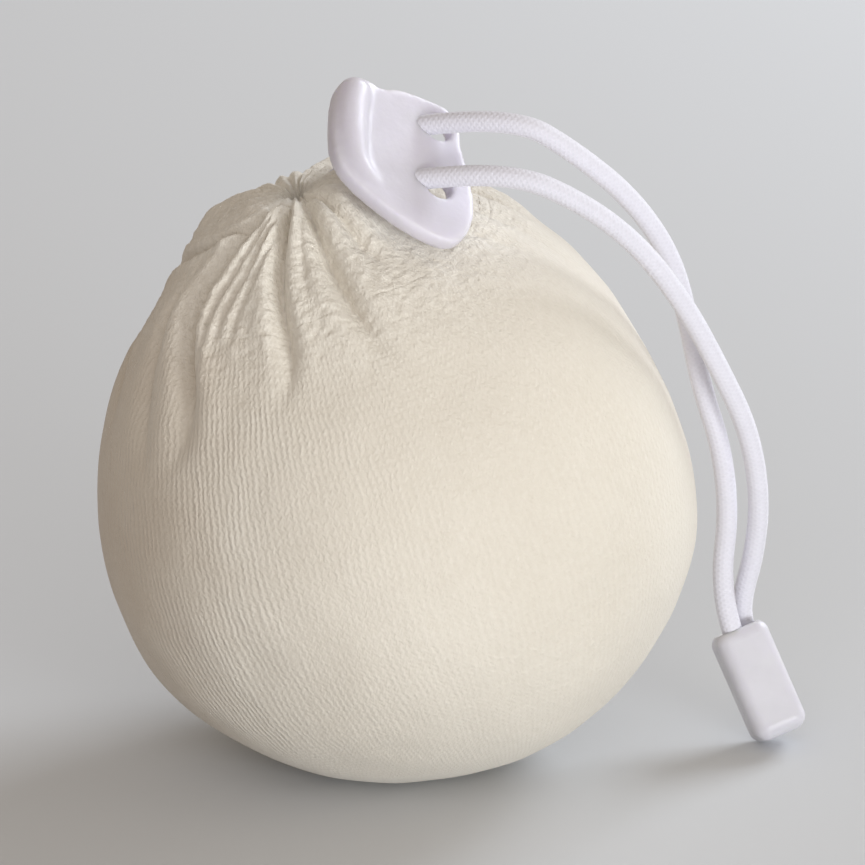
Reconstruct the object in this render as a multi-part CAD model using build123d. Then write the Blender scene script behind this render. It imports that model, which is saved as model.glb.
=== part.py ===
"""Herbal compress ball: a stuffed knit bag closed by an elastic drawstring, its stopper and its cord end.

The bag stands on a small flat with the mouth on top, leaning towards -X. Each piece is its own node.
"""
import math
import os

from build123d import *

# Driving dimensions, in millimetres and degrees.
BALL_R = 43.0  # outside of the stuffed bag
BALL_CENTRE = Vector(0, 0, 41.0)  # over the flat that the bag rests on
MOUTH_TILT = 18.0  # lean of the bag's axis towards -X
BAG_WALL = 1.2
POUCH_WALL = 0.5
LAYER_GAP = 0.3  # between the bag, the pouch and the herbs

HEM_R = 23.5  # casing's lower edge, round the bag's axis
CASING_TOP_R = 47.3  # from the ball's centre to the casing's crown
CASING_CROWN_R = 16.0  # where the crown starts to fall to the hem
MOUTH_R = 3.0  # what is left open when the cord is drawn tight
TUNNEL_R = 2.0  # the cord's tunnel in the casing
LOOP_R = 5.5  # the drawn cord's bend round the mouth
LOOP_HEIGHT = 44.0  # the loop's plane, along the bag's axis from the ball's centre
THREAD_R = 0.25

POUCH_NECK_R = 2.2
POUCH_NECK_TOP = 42.6
POUCH_SHOULDER = 37.0
TIE_HEIGHT = 39.4
TIE_R = 0.6

CORD_D = 3.0

STOPPER_CENTRE = Vector(0.46, -6.48, 92.7)
STOPPER_FACE = Vector(0.45, -0.474, 0.758).normalized()  # the side that the strands come out of
STOPPER_THICK = 2.6
STOPPER_EDGE = 1.1  # rounding of the plate's edges
# The plate's corners in its own plane, each with the radius that rounds it.
STOPPER_CORNERS = [
    (-10.5, 13.5, 3.6),
    (8.0, 12.6, 3.0),
    (11.8, -1.0, 8.0),
    (10.8, -13.8, 3.6),
    (3.0, -13.8, 6.0),
    (-11.8, -5.0, 4.6),
]
HOLE_LENGTH = 8.0
HOLE_WIDTH = 5.7
HOLE_CENTRES = [(5.0, 8.0), (5.0, -1.6)]
WING_R = 2.3  # the thick rounded rim on the plate's left
WING_ENDS = [(-9.0, 10.6), (-9.3, -4.0)]
WING_RISE = 1.0
SLIDE_AXIS = Vector(0.93, -0.325, 0.172).normalized()  # the strands' direction through the plate

CLIP_CENTRE = Vector(51.9, 5.4, 9.17)
CLIP_AXIS = Vector(0.400, -0.3134, -0.8615).normalized()  # from the strands' entry to the closed end
CLIP_FACE = Vector(0.159, -0.902, 0.402)  # out of the lid
CLIP_LENGTH = 17.0
CLIP_WIDTH = 8.0
CLIP_THICK = 7.6
CLIP_WALL = 0.75
CLIP_EDGE = 2.0
LID_THICK = 3.2
LID_GAP = 0.1
KNOT_LENGTH = 8.0
KNOT_FROM_CENTRE = -5.7  # the knot's near face, just over the strands' ends
KNOT_GAP = 0.35

# Routes of the two free strands, chosen by hand: loop end, through the stopper, down beside the ball.
UPPER_ROUTE = [
    (-13.60, 5.5, 82.85), (-8.2, 5.5, 84.6), (-1.6, 3.8, 93.8), (17.0, -2.7, 97.3), (24.7, -2.6, 92.3),
    (33.0, -0.1, 84.6), (38.8, 2.7, 74.9), (41.3, 4.8, 64.3), (43.2, 6.2, 54.2), (46.3, 7.2, 44.3),
    (47.4, 7.8, 33.9), (46.4, 7.5, 25.0), (47.6, 6.7, 17.1), (49.0, 5.7, 14.3),
]
LOWER_ROUTE = [
    (-13.60, -5.5, 82.85), (-7.9, -5.5, 84.7), (-1.1, -4.5, 88.8), (16.6, -10.7, 92.1), (26.0, -9.8, 87.1),
    (34.0, -7.6, 80.0), (40.5, -4.2, 70.1), (45.5, -0.3, 59.3), (50.0, 3.6, 48.5), (51.9, 6.9, 37.0),
    (51.2, 9.5, 27.1), (49.6, 10.5, 20.6), (49.55, 9.7, 16.5), (50.75, 8.7, 13.9),
]
ARC_SHARE = 0.45  # of the shorter run, taken by each arc


def frame_at(origin, z_dir, x_dir):
    """A plane whose x is made square to z."""
    z = Vector(z_dir).normalized()
    x = Vector(x_dir) - z * Vector(x_dir).dot(z)
    return Plane(origin=origin, x_dir=x, z_dir=z)


def above(z):
    """All the space over a height."""
    side = 4 * BALL_R
    return Pos(0, 0, z) * Box(side, side, side, align=(Align.CENTER, Align.CENTER, Align.MIN))


tilt = math.radians(MOUTH_TILT)
bag_frame = Plane(
    origin=BALL_CENTRE,
    x_dir=(math.cos(tilt), 0, math.sin(tilt)),
    z_dir=(-math.sin(tilt), 0, math.cos(tilt)),
)
stopper_frame = frame_at(STOPPER_CENTRE, STOPPER_FACE, (0.893, 0.239, -0.382))
clip_frame = frame_at(CLIP_CENTRE, CLIP_FACE, -CLIP_AXIS)


def ball_solid(radius, base_z):
    """A stuffed ball with the flat that it rests on."""
    return (Pos(*BALL_CENTRE) * Sphere(radius)) & above(base_z)


def ring(section):
    """A section in the bag's (radius, height) half-plane, turned round the bag's axis."""
    return bag_frame * revolve(Plane.XZ * section, axis=Axis.Z)


def column(radius, low, high):
    """A round column along the bag's axis."""
    tall = Cylinder(radius, high - low, align=(Align.CENTER, Align.CENTER, Align.MIN))
    return bag_frame * Pos(0, 0, low) * tall


def on_ball(r, shell_r):
    """The height of a ball surface, at a distance from the bag's axis."""
    return math.sqrt(shell_r**2 - r**2)


def arc_radii(route, name):
    """One radius for each corner: 0.45 of the shorter run over the tangent of half the turn."""
    points = [Vector(*p) for p in route]
    radii = []
    for before, here, after in zip(points, points[1:], points[2:]):
        run_in, run_out = here - before, after - here
        half_turn = math.radians(run_in.get_angle(run_out)) / 2
        radii.append(ARC_SHARE * min(run_in.length, run_out.length) / math.tan(half_turn))
    print(name, "radii:", [round(r, 1) for r in radii])
    return radii


def tube(path, radius):
    """A round section swept along a path."""
    start = Plane(origin=path @ 0, z_dir=path % 0)
    return sweep(start * Circle(radius), path=path)


def strand_path(route, name):
    return FilletPolyline(*route, radius=arc_radii(route, name))


def loop_path():
    """The drawn cord's U round the mouth: both ends point to the stopper."""
    return bag_frame * Pos(0, 0, LOOP_HEIGHT) * CenterArc((0, 0), LOOP_R, 90, 180)


def tunnel_path():
    """The cord's way through the casing: in beside the stopper, round the mouth and out again."""
    loop = loop_path()
    legs = []
    for route, end in ((UPPER_ROUTE, loop @ 0), (LOWER_ROUTE, loop @ 1)):
        inside = [end] + [Vector(*p) for p in route[1:4]]
        legs.append(FilletPolyline(*inside, radius=arc_radii(inside, "tunnel")))
    return Wire([*legs[0].edges(), *loop.edges(), *legs[1].edges()])


def make_outer_bag():
    cavity = ball_solid(BALL_R - BAG_WALL, BAG_WALL)
    return ball_solid(BALL_R, 0) - cavity - column(HEM_R, 0, 2 * BALL_R)


def make_casing():
    """The hem band: a crowned ring over the bag's mouth, with the cord's tunnel through it."""
    outer_r = HEM_R - 0.1
    inner_shell = BALL_R - BAG_WALL
    crown_start = 2 * MOUTH_R - 1.0
    low_out = (outer_r, on_ball(outer_r, inner_shell))
    low_in = (MOUTH_R, on_ball(MOUTH_R, inner_shell))
    lip = (MOUTH_R, on_ball(MOUTH_R, CASING_TOP_R) - 1.6)
    crown_in = (crown_start, on_ball(crown_start, CASING_TOP_R))
    crown_out = (CASING_CROWN_R, on_ball(CASING_CROWN_R, CASING_TOP_R))
    edge = (outer_r, on_ball(outer_r, BALL_R))
    shoulder = (CASING_CROWN_R + 3.6, (crown_out[1] + edge[1]) / 2 + 0.7)
    outline = [
        RadiusArc(low_out, low_in, -inner_shell),
        Line(low_in, lip),
        ThreePointArc(lip, (MOUTH_R + 0.6, lip[1] + 1.1), crown_in),
        RadiusArc(crown_in, crown_out, CASING_TOP_R),
        ThreePointArc(crown_out, shoulder, edge),
        Line(edge, low_out),
    ]
    band = ring(make_face(outline))
    band -= tube(tunnel_path(), TUNNEL_R)
    return band


def make_casing_stitching():
    """A ring of thread that lies on the bag just under the casing's edge."""
    reach = BALL_R + THREAD_R + 0.08
    r = HEM_R + 0.5
    return ring(Pos(r, on_ball(r, reach)) * Circle(THREAD_R))


def make_side_seam():
    """Thread down the bag's back, from under the casing almost to the base."""
    reach = BALL_R + THREAD_R + 0.08
    arc = bag_frame * Plane.YZ * CenterArc((0, 0), reach, 52, -120)
    return tube(arc, THREAD_R)


def make_herb_pouch():
    """The muslin pouch inside the bag, with a neck that ends in the mouth."""
    outer_r = BALL_R - BAG_WALL - LAYER_GAP
    base = BAG_WALL + LAYER_GAP
    keep = column(BALL_R, -BALL_R, POUCH_SHOULDER)
    shell = ball_solid(outer_r, base) & keep
    hollow = ball_solid(outer_r - POUCH_WALL, base + POUCH_WALL) & column(
        BALL_R, -BALL_R, POUCH_SHOULDER - POUCH_WALL
    )
    neck = column(POUCH_NECK_R, POUCH_SHOULDER - POUCH_WALL, POUCH_NECK_TOP)
    return shell - hollow + neck


def make_pouch_tie():
    """String wound round the pouch's neck."""
    return ring(Pos(POUCH_NECK_R + TIE_R + 0.05, TIE_HEIGHT) * Circle(TIE_R))


def make_herb_filling():
    inset = BAG_WALL + POUCH_WALL + 2 * LAYER_GAP
    top = POUCH_SHOULDER - POUCH_WALL - LAYER_GAP
    return ball_solid(BALL_R - inset, inset) & column(BALL_R, -BALL_R, top)


def make_stopper():
    """The two-hole plate, with its thick rounded rim on one side."""
    plate = make_face(Polyline(*[(x, y) for x, y, _ in STOPPER_CORNERS], close=True))
    for x, y, radius in STOPPER_CORNERS:
        corner = plate.vertices().sort_by_distance((x, y, 0))[0]
        plate = fillet(corner, radius)
    body = extrude(plate, STOPPER_THICK / 2, both=True)
    body = fillet(body.faces().filter_by(Axis.Z).edges(), STOPPER_EDGE)
    (x0, y0), (x1, y1) = WING_ENDS
    rim_line = Line((x0, y0, WING_RISE), (x1, y1, WING_RISE))
    rim = tube(rim_line, WING_R)
    for x, y in WING_ENDS:
        rim += Pos(x, y, WING_RISE) * Sphere(WING_R)
    body += rim
    for x, y in HOLE_CENTRES:
        slot = SlotOverall(HOLE_LENGTH, HOLE_WIDTH)
        body -= Pos(x, y, 0) * extrude(slot, 3 * STOPPER_THICK, both=True)
    return stopper_frame * body


def clip_shells():
    """The cord end's two shells, split by the lid's plane, in world place."""
    outside = Box(CLIP_LENGTH, CLIP_WIDTH, CLIP_THICK)
    outside = fillet(outside.edges(), CLIP_EDGE)
    inner = [CLIP_LENGTH - 2 * CLIP_WALL, CLIP_WIDTH - 2 * CLIP_WALL, CLIP_THICK - 2 * CLIP_WALL]
    cavity = fillet(Box(*inner).edges(), CLIP_EDGE - CLIP_WALL)
    entry = Box(CLIP_LENGTH / 2, inner[1] - 0.2, inner[2] - 0.2, align=(Align.MIN, Align.CENTER, Align.CENTER))
    entry = fillet(entry.edges().filter_by(Axis.X), CLIP_EDGE - CLIP_WALL)
    hollow = outside - cavity - Pos(CLIP_WALL, 0, 0) * entry
    split = CLIP_THICK / 2 - LID_THICK
    front = Pos(0, 0, split) * Box(
        2 * CLIP_LENGTH, 2 * CLIP_WIDTH, CLIP_THICK, align=(Align.CENTER, Align.CENTER, Align.MIN)
    )
    back = Pos(0, 0, split - LID_GAP) * Box(
        2 * CLIP_LENGTH, 2 * CLIP_WIDTH, CLIP_THICK, align=(Align.CENTER, Align.CENTER, Align.MAX)
    )
    return clip_frame * (hollow & back), clip_frame * (hollow & front)


def make_knot():
    """The strands' ends, tied into one lump that can't pull out of the entry."""
    wide = CLIP_WIDTH - 2 * (CLIP_WALL + KNOT_GAP)
    thick = CLIP_THICK - 2 * (CLIP_WALL + KNOT_GAP)
    lump = Box(KNOT_LENGTH, wide, thick, align=(Align.MAX, Align.CENTER, Align.CENTER))
    lump = fillet(lump.edges().filter_by(Axis.X), 2.0)
    far_end = lump.faces().sort_by(Axis.X)[0]
    lump = fillet(far_end.edges(), 1.6)
    return clip_frame * Pos(-KNOT_FROM_CENTRE, 0, 0) * lump


def one_solid(shape):
    solids = shape.solids()
    return solids[0] if len(solids) == 1 else shape


clip_body, clip_lid = clip_shells()
upper_path = strand_path(UPPER_ROUTE, "upper strand")
lower_path = strand_path(LOWER_ROUTE, "lower strand")
nodes = {
    "outer_bag": make_outer_bag(),
    "drawstring_casing": make_casing(),
    "casing_stitching": make_casing_stitching(),
    "side_seam": make_side_seam(),
    "herb_pouch": make_herb_pouch(),
    "pouch_tie": make_pouch_tie(),
    "herb_filling": make_herb_filling(),
    "drawstring_loop": tube(loop_path(), CORD_D / 2),
    "drawstring_upper_strand": tube(upper_path, CORD_D / 2),
    "drawstring_lower_strand": tube(lower_path, CORD_D / 2),
    "cord_stopper": make_stopper(),
    "cord_end_body": clip_body,
    "cord_end_lid": clip_lid,
    "cord_end_knot": make_knot(),
}

os.makedirs("parts", exist_ok=True)
for name, shape in nodes.items():
    export_step(one_solid(shape), f"parts/{name}.step")

for name, path in (("drawstring_upper_strand", upper_path), ("drawstring_lower_strand", lower_path)):
    ideal = math.pi * (CORD_D / 2) ** 2 * path.length
    print(name, "length", round(path.length, 1), "volume ratio", round(nodes[name].volume / ideal, 4))
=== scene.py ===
import math

import bmesh
import bpy
import numpy as np
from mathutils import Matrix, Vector, noise


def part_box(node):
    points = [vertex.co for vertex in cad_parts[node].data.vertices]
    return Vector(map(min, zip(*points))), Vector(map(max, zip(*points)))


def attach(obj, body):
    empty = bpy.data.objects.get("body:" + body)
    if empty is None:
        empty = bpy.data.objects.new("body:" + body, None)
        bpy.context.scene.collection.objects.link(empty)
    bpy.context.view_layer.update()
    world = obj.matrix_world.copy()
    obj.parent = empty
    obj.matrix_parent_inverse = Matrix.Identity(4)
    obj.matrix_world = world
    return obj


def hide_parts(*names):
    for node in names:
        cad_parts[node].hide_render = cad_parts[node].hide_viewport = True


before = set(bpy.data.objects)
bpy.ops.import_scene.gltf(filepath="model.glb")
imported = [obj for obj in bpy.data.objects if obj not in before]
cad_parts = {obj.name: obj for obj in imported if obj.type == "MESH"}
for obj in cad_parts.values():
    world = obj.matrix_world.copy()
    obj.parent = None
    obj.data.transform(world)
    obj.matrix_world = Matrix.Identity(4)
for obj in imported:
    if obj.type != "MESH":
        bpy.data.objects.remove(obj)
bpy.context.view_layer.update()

MM = 0.001

# The bag: a ball round BALL_CENTRE, with its mouth leaning MOUTH_TILT degrees towards -X.
BALL_R = 43.0
BALL_CENTRE = np.array([0.0, 0.0, 41.0])
MOUTH_TILT = 18.0
BASE_ROUNDING = 0.5  # how softly the cloth turns onto the floor
BAG_WALL = 1.2
POUCH_DEPTH = 2.3  # how far the pouch and the herbs lie under the bag's outside
HERBS_DEPTH = 3.4
COLUMNS = 504  # round the bag, twice the number of wales
WALES = 252

# The hem band, from the mouth to its lower edge.
HEM_POLAR = 35.0
HEM_WAVE = 0.9  # how far the edge wanders, in degrees
UNDER_HEM = 29.0  # the polar angle where the bag's cloth ends under the hem
TUCK = 1.15  # how far the bag's cloth dips to go under the hem, in mm
BAND_PROUD = 0.07
BAND_THICK = 1.05
BAND_ROWS = (100, 34)  # rings of the hem's outer and inner face
MOUTH_POLAR = 0.6  # where the cloth meets in the drawn mouth
TUNNEL_COVER = 46.05  # the least reach of the cloth over the loop
TUNNEL_FLOOR = 42.7  # the reach of the hem's inner face under the loop
PLEATS = 23
PLEAT_DEPTH = 0.55
CRINKLE_END = 50.0  # the polar angle where the knit lies smooth again
CRINKLE = 0.17  # crepe relief, in mm

CORD_D = 3.0
CORD_PITCH = 0.8  # one crossing of the braid along the cord
CORD_YARNS = 8
CORD_RELIEF = 0.02

# The strands' routes in metres: loop end, through the stopper, down beside the ball to the cord end.
UPPER_ROUTE = [
    (-0.01360, 0.0055, 0.08285), (-0.0090, 0.0050, 0.0846), (-0.0030, 0.0020, 0.0942),
    (0.0165, -0.0055, 0.0984), (0.0247, -0.0044, 0.0930), (0.0330, -0.0007, 0.0848),
    (0.0388, 0.0027, 0.0749), (0.0413, 0.0048, 0.0643), (0.0432, 0.0062, 0.0542),
    (0.0463, 0.0072, 0.0443), (0.0474, 0.0078, 0.0339), (0.0464, 0.0075, 0.0250),
    (0.0476, 0.0067, 0.0171), (0.0490, 0.0057, 0.0143),
]
LOWER_ROUTE = [
    (-0.01360, -0.0055, 0.08285), (-0.0086, -0.0062, 0.0848), (-0.0028, -0.0068, 0.0892),
    (0.0160, -0.0135, 0.0930), (0.0260, -0.0115, 0.0877), (0.0340, -0.0082, 0.0802),
    (0.0405, -0.0042, 0.0701), (0.0455, -0.0003, 0.0593), (0.0500, 0.0036, 0.0485),
    (0.0519, 0.0069, 0.0370), (0.0512, 0.0095, 0.0271), (0.0496, 0.0105, 0.0206),
    (0.04955, 0.0097, 0.0165), (0.05075, 0.0087, 0.0139),
]
LOOP_R = 5.5
LOOP_HEIGHT = 44.0

# The reach of the bag by polar angle: in the mouth, then at the crown's top, then by its share of the crown.
REACH_POLARS = [0.6, 1.6, 3.4, 8.5, 14.0, 22.0, 30.0, 38.0, 47.0, 60.0]
MOUTH_REACH = [43.4, 45.0, 46.6, 47.3]
CROWN_LEAST = 46.9
CROWN_SHARES = [1.0, 0.68, 0.30, 0.08, 0.0]

# Height of the gathered cloth over the ball, round the mouth: (azimuth, mm).
CROWN = [
    (-180, 2.6), (-150, 2.4), (-120, 2.2), (-90, 1.7), (-60, 1.1), (-37, 0.5), (-10, 0.7), (20, 1.2),
    (50, 2.6), (75, 4.4), (92, 3.3), (104, 3.5), (115, 3.0), (128, 4.2), (141, 5.0), (154, 3.4), (180, 2.6),
]

# How a fold's section is made up: a round trough, a sharp crease and the puffed cloth beside them.
TROUGH_SHARE = 0.55
CREASE_SHARE = 0.45
PUFF_SHARE = 0.22

# Folds that the drawn cord makes: ((polar, azimuth), ...), depth and width in mm.
FOLDS = [
    (((7, -106), (14, -140), (17, -164), (21, -177), (25, -187), (33, -198)), 2.1, 1.5),
    (((9, -118), (14, -134), (20, -142), (30, -138), (44, -137), (60, -135)), 3.1, 2.0),
    (((27, -157), (39, -155), (46, -152), (54, -148), (64, -145)), 1.1, 2.2),
    (((32, -198), (44, -178), (60, -168)), 0.8, 2.6),
    (((11, -112), (20, -127), (28, -131), (37, -132), (46, -132)), 0.75, 0.7),
    (((11, -108), (22, -121), (30, -126), (40, -127)), 0.8, 0.7),
    (((12, -103), (22, -115), (30, -120), (38, -121)), 0.65, 0.7),
    (((6, -92), (19, -104), (29, -103), (36, -102), (50, -104)), 2.6, 1.5),
    (((10, -84), (20, -91), (31, -91)), 0.45, 0.8),
    (((6, -76), (22, -80), (30, -79), (36, -78), (47, -75)), 2.6, 1.7),
    (((6, -66), (16, -62), (22, -62), (29, -59)), 1.7, 1.1),
    (((12, -25), (34, -18), (50, -12)), 0.7, 2.6),
    (((12, 0), (38, -2), (52, -4)), 0.6, 2.4),
    (((11, 26), (22, 22), (35, 17), (48, 14)), 1.1, 1.6),
    (((11, 44), (20, 46), (36, 43), (55, 41)), 1.9, 1.6),
    (((12, 66), (22, 64), (40, 66)), 1.1, 1.3),
    (((11, 84), (20, 86), (38, 84), (54, 82)), 1.7, 1.7),
    (((12, 99), (20, 98), (30, 97)), 0.6, 0.9),
    (((10, 112), (19, 113), (34, 110), (50, 109)), 2.0, 1.6),
    (((12, 128), (22, 131), (36, 130)), 0.7, 1.0),
]
# The light folds low on the bag.
SAGS = [
    (((80, -128), (94, -124), (114, -127)), 0.10, 4.0),
    (((70, 60), (95, 64), (120, 60)), 0.3, 3.5),
    (((75, 150), (100, 146), (122, 150)), 0.35, 3.0),
]
# Uneven stuffing all over: (height in mm, size in mm, seed of the noise).
LUMPS = [(0.45, 17.0, 3.0), (0.15, 6.0, 9.0)]
# Swells and hollows of the stuffing: polar, azimuth, height, radius. The first is under the stopper's tip.
SWELLS = [
    (32, -37, -0.7, 5.0), (82, 9, -2.7, 17.0), (109, -167, 1.0, 12.0), (150, -110, -0.9, 20.0),
    (40, 30, 1.5, 7.0), (20.5, 119, -1.3, 4.0), (37, 160, -1.8, 6.5), (24, 72, 0.8, 5.0),
    (13, -44, 1.7, 4.2), (20, -56, 1.1, 4.0),
]

# The stopper: its centre, its face and its outline across and up the plate, in mm.
STOPPER_CENTRE = np.array([0.46, -6.48, 92.7])
STOPPER_FACE = np.array([0.45, -0.474, 0.758])
STOPPER_ACROSS = np.array([0.893, 0.239, -0.382])
STOPPER_OUTLINE = [
    (-8.2, 11.0), (-10.4, 8.6), (-11.2, 4.0), (-11.2, -1.3), (-10.0, -5.6), (-6.4, -8.9), (-0.5, -12.0),
    (4.5, -13.4), (8.0, -13.0), (10.2, -10.0), (10.9, -5.6), (10.1, -0.3), (8.9, 4.6), (8.5, 8.2),
    (6.6, 10.6), (3.2, 11.2), (-0.8, 11.4), (-3.8, 10.6), (-6.0, 11.3),
]
PLATE_THICK = 2.7
CUTTER_REACH = 8  # half the length of the bar that cuts an opening
RIM_LINE = [(-7.7, 8.6, 0.4), (-8.4, 5.0, 0.6), (-8.4, 0.0, 0.6), (-7.4, -4.0, 0.4), (-4.4, -7.2, 0.1)]
RIM_RADII = [2.4, 2.5, 2.4, 2.0, 1.4]
GAP_CENTRES = [(5.2, 6.5), (5.4, -3.9)]  # the middles of its two openings, on the plate
GAP_HALF = (2.1, 2.1)

CAMERA_ELEVATION = 20.0
CAMERA_DISTANCE = 1.442
CAMERA_LENS = 420.0
TARGET = (0.0048, 0.00266, 0.0483)
BACKDROP_AIM = (0.36, 0.42, 0.0)


# ---------------------------------------------------------------- the bag's frame and surface

tilt = math.radians(MOUTH_TILT)
BAG_AXES = np.array([
    [math.cos(tilt), 0.0, math.sin(tilt)],
    [0.0, 1.0, 0.0],
    [-math.sin(tilt), 0.0, math.cos(tilt)],
])


def spot(polar, azimuth, reach):
    """World points, in mm, at angles in degrees from the bag's axis and a reach from its centre."""
    polar, azimuth = np.radians(polar), np.radians(azimuth)
    flat = reach * np.sin(polar)
    local = np.stack([flat * np.cos(azimuth), flat * np.sin(azimuth), reach * np.cos(polar)], -1)
    return BALL_CENTRE + local @ BAG_AXES


def on_floor(points):
    """Turns the ball's underside onto the floor."""
    z = points[..., 2]
    settled = points.copy()
    settled[..., 2] = (z + np.sqrt(z * z + BASE_ROUNDING**2)) / 2
    return settled


def smoothstep(x):
    x = np.clip(x, 0, 1)
    return x * x * (3 - 2 * x)


def round_trip(azimuth):
    """An angle in degrees brought to -180 to 180."""
    return (np.asarray(azimuth) + 180) % 360 - 180


def crown_height(azimuth):
    angles, heights = zip(*CROWN)
    return np.interp(round_trip(azimuth), angles, heights)


def bare_surface(polar, azimuth):
    """The reach of the gathered bag before its folds."""
    crown = crown_height(azimuth)
    levels = [np.full_like(crown, reach) for reach in MOUTH_REACH]
    levels += [np.maximum(CROWN_LEAST, BALL_R + crown)]
    levels += [BALL_R + share * crown for share in CROWN_SHARES]
    reach = levels[0]
    for low, up, before, after in zip(REACH_POLARS, REACH_POLARS[1:], levels, levels[1:]):
        reach = reach + (after - before) * np.clip((polar - low) / (up - low), 0, 1)
    return reach


def fold_depth(polar, azimuth, line, depth, width):
    """How far one fold draws the cloth in, with the puffed cloth on both sides of it."""
    down, round_it = zip(*line)
    bend = np.polyfit(down, round_it, min(3, len(line) - 1))
    centre = np.polyval(bend, polar)
    off = round_trip(azimuth - centre) * np.pi / 180 * BALL_R * np.sin(np.radians(polar))
    along = (polar - down[0]) / (down[-1] - down[0])
    strength = smoothstep(along * 5 + 0.5) * smoothstep((1.08 - along) / 0.55)
    wide = width * (0.35 + 0.8 * np.clip(along, 0, 1))
    valley = TROUGH_SHARE * np.exp(-((off / wide) ** 2))
    valley = valley + CREASE_SHARE * np.exp(-np.abs(off) / (0.6 * wide))
    puff = np.exp(-(((np.abs(off) - 2.1 * wide) / (1.3 * wide)) ** 2))
    return depth * strength * (valley - PUFF_SHARE * puff)


def swell(polar, azimuth, at_polar, at_azimuth, height, radius):
    """A round swell or hollow of the stuffing."""
    between = np.sin(np.radians((polar + at_polar) / 2))
    aside = round_trip(azimuth - at_azimuth) * between
    off = np.hypot(polar - at_polar, aside) * np.pi / 180 * BALL_R
    return height * np.exp(-((off / radius) ** 2))


def soft_noise(points, size, seed):
    """Smooth noise over points in mm, of lumps about size mm across."""
    flat = (points.reshape(-1, 3) / size + seed).tolist()
    values = [noise.noise(p) for p in flat]
    return np.array(values).reshape(points.shape[:-1])


def over_tunnel(polar, reach):
    """Keeps the cloth outside the cord that runs round the mouth."""
    cover = TUNNEL_COVER * smoothstep((polar - 3.2) / 1.6) * smoothstep((11.5 - polar) / 1.8)
    return cover + (reach - cover + np.sqrt((reach - cover) ** 2 + 0.06)) / 2


def mouth_pleats(polar, azimuth):
    """The small gathers that run into the mouth."""
    turn = np.radians(azimuth)
    pleat = 0.5 + 0.5 * np.cos(PLEATS * turn + 1.6 * np.sin(5 * turn) + 1.1 * np.sin(3 * turn + 1))
    return PLEAT_DEPTH * pleat * smoothstep((polar - 1.0) / 1.5) * smoothstep((15 - polar) / 8)


def bag_reach(polar, azimuth):
    """The outside of the stuffed bag: its folds, its lumps and its swells."""
    reach = bare_surface(polar, azimuth)
    for line, depth, width in FOLDS + SAGS:
        reach = reach - fold_depth(polar, azimuth, line, depth, width)
    for at_polar, at_azimuth, height, radius in SWELLS:
        reach = reach + swell(polar, azimuth, at_polar, at_azimuth, height, radius)
    reach = over_tunnel(polar, reach) + mouth_pleats(polar, azimuth)
    points = spot(polar, azimuth, reach)
    lumps = sum(height * soft_noise(points, size, seed) for height, size, seed in LUMPS)
    return reach + lumps * smoothstep((polar - 4) / 12)


def held_inside(points, gap):
    """Points in mm, drawn in where they come nearer than a gap to the bag's outside."""
    local = (points - BALL_CENTRE) @ BAG_AXES.T
    reach = np.linalg.norm(local, axis=-1)
    polar = np.degrees(np.arccos(local[..., 2] / reach))
    azimuth = np.degrees(np.arctan2(local[..., 1], local[..., 0]))
    share = np.minimum(1, (bag_reach(polar, azimuth) - gap) / reach)
    return BALL_CENTRE + (points - BALL_CENTRE) * share[..., None]


def crepe_relief(polar, azimuth, reach):
    """The crinkle of gathered knit, fading out below the hem."""
    points = spot(polar, azimuth, reach)
    crepe = soft_noise(points, 1.5, 21.0) + 0.7 * soft_noise(points, 0.8, 33.0)
    return CRINKLE * crepe * smoothstep((polar - 3) / 4) * smoothstep((CRINKLE_END - polar) / 16)


# ---------------------------------------------------------------- mesh builders


def finished(name, mesh, material, body="ball"):
    """An object from a mesh: its faces turned outwards, smooth, painted and riding on a body."""
    shell = bmesh.new()
    shell.from_mesh(mesh)
    bmesh.ops.recalc_face_normals(shell, faces=shell.faces)
    shell.to_mesh(mesh)
    shell.free()
    mesh.shade_smooth()
    mesh.materials.append(material)
    piece = bpy.data.objects.new(name, mesh)
    bpy.context.scene.collection.objects.link(piece)
    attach(piece, body)
    return piece


def ring_faces(rows, columns):
    """Quads between rings, and their places across and along."""
    i, j = np.meshgrid(np.arange(rows - 1), np.arange(columns), indexing="ij")
    i, j = i.ravel(), j.ravel()
    k = (j + 1) % columns
    quads = np.stack([i * columns + j, i * columns + k, (i + 1) * columns + k, (i + 1) * columns + j], 1)
    across = np.stack([j, j + 1, j + 1, j], 1) / columns
    along = np.stack([i, i, i + 1, i + 1], 1)
    return quads, across, along


def ring_mesh(name, rows):
    """A closed skin through rings of points in mm, each end drawn to a point; UVs: turns round, mm along."""
    rows = np.asarray(rows, float)
    count, columns = rows.shape[:2]
    quads, across, along = ring_faces(count, columns)
    steps = np.linalg.norm(np.diff(rows, axis=0), axis=2).mean(axis=1)
    reach = np.concatenate([[0], np.cumsum(steps)])
    ends = [rows[0].mean(axis=0), rows[-1].mean(axis=0)]
    points = np.concatenate([rows.reshape(-1, 3), ends]) * MM
    first, last = count * columns, count * columns + 1
    j = np.arange(columns)
    k = (j + 1) % columns
    top = (count - 1) * columns
    caps = [(first, int(b), int(a)) for a, b in zip(j, k)]
    caps += [(last, int(top + a), int(top + b)) for a, b in zip(j, k)]
    mesh = bpy.data.meshes.new(name)
    mesh.from_pydata(points.tolist(), [], quads.tolist() + caps)
    around = [across.ravel()]
    forward = [reach[along].ravel()]
    for sign, level in ((1, 0.0), (-1, reach[-1])):
        left, right = j / columns, (j + 1) / columns
        tip = (left + right) / 2
        order = (tip, right, left) if sign == 1 else (tip, left, right)
        around.append(np.stack(order, 1).ravel())
        forward.append(np.full(3 * columns, level))
    layer = mesh.uv_layers.new(name="cloth")
    both = np.stack([np.concatenate(around), np.concatenate(forward)], 1)
    layer.data.foreach_set("uv", both.ravel())
    mesh.update()
    return mesh


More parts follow.
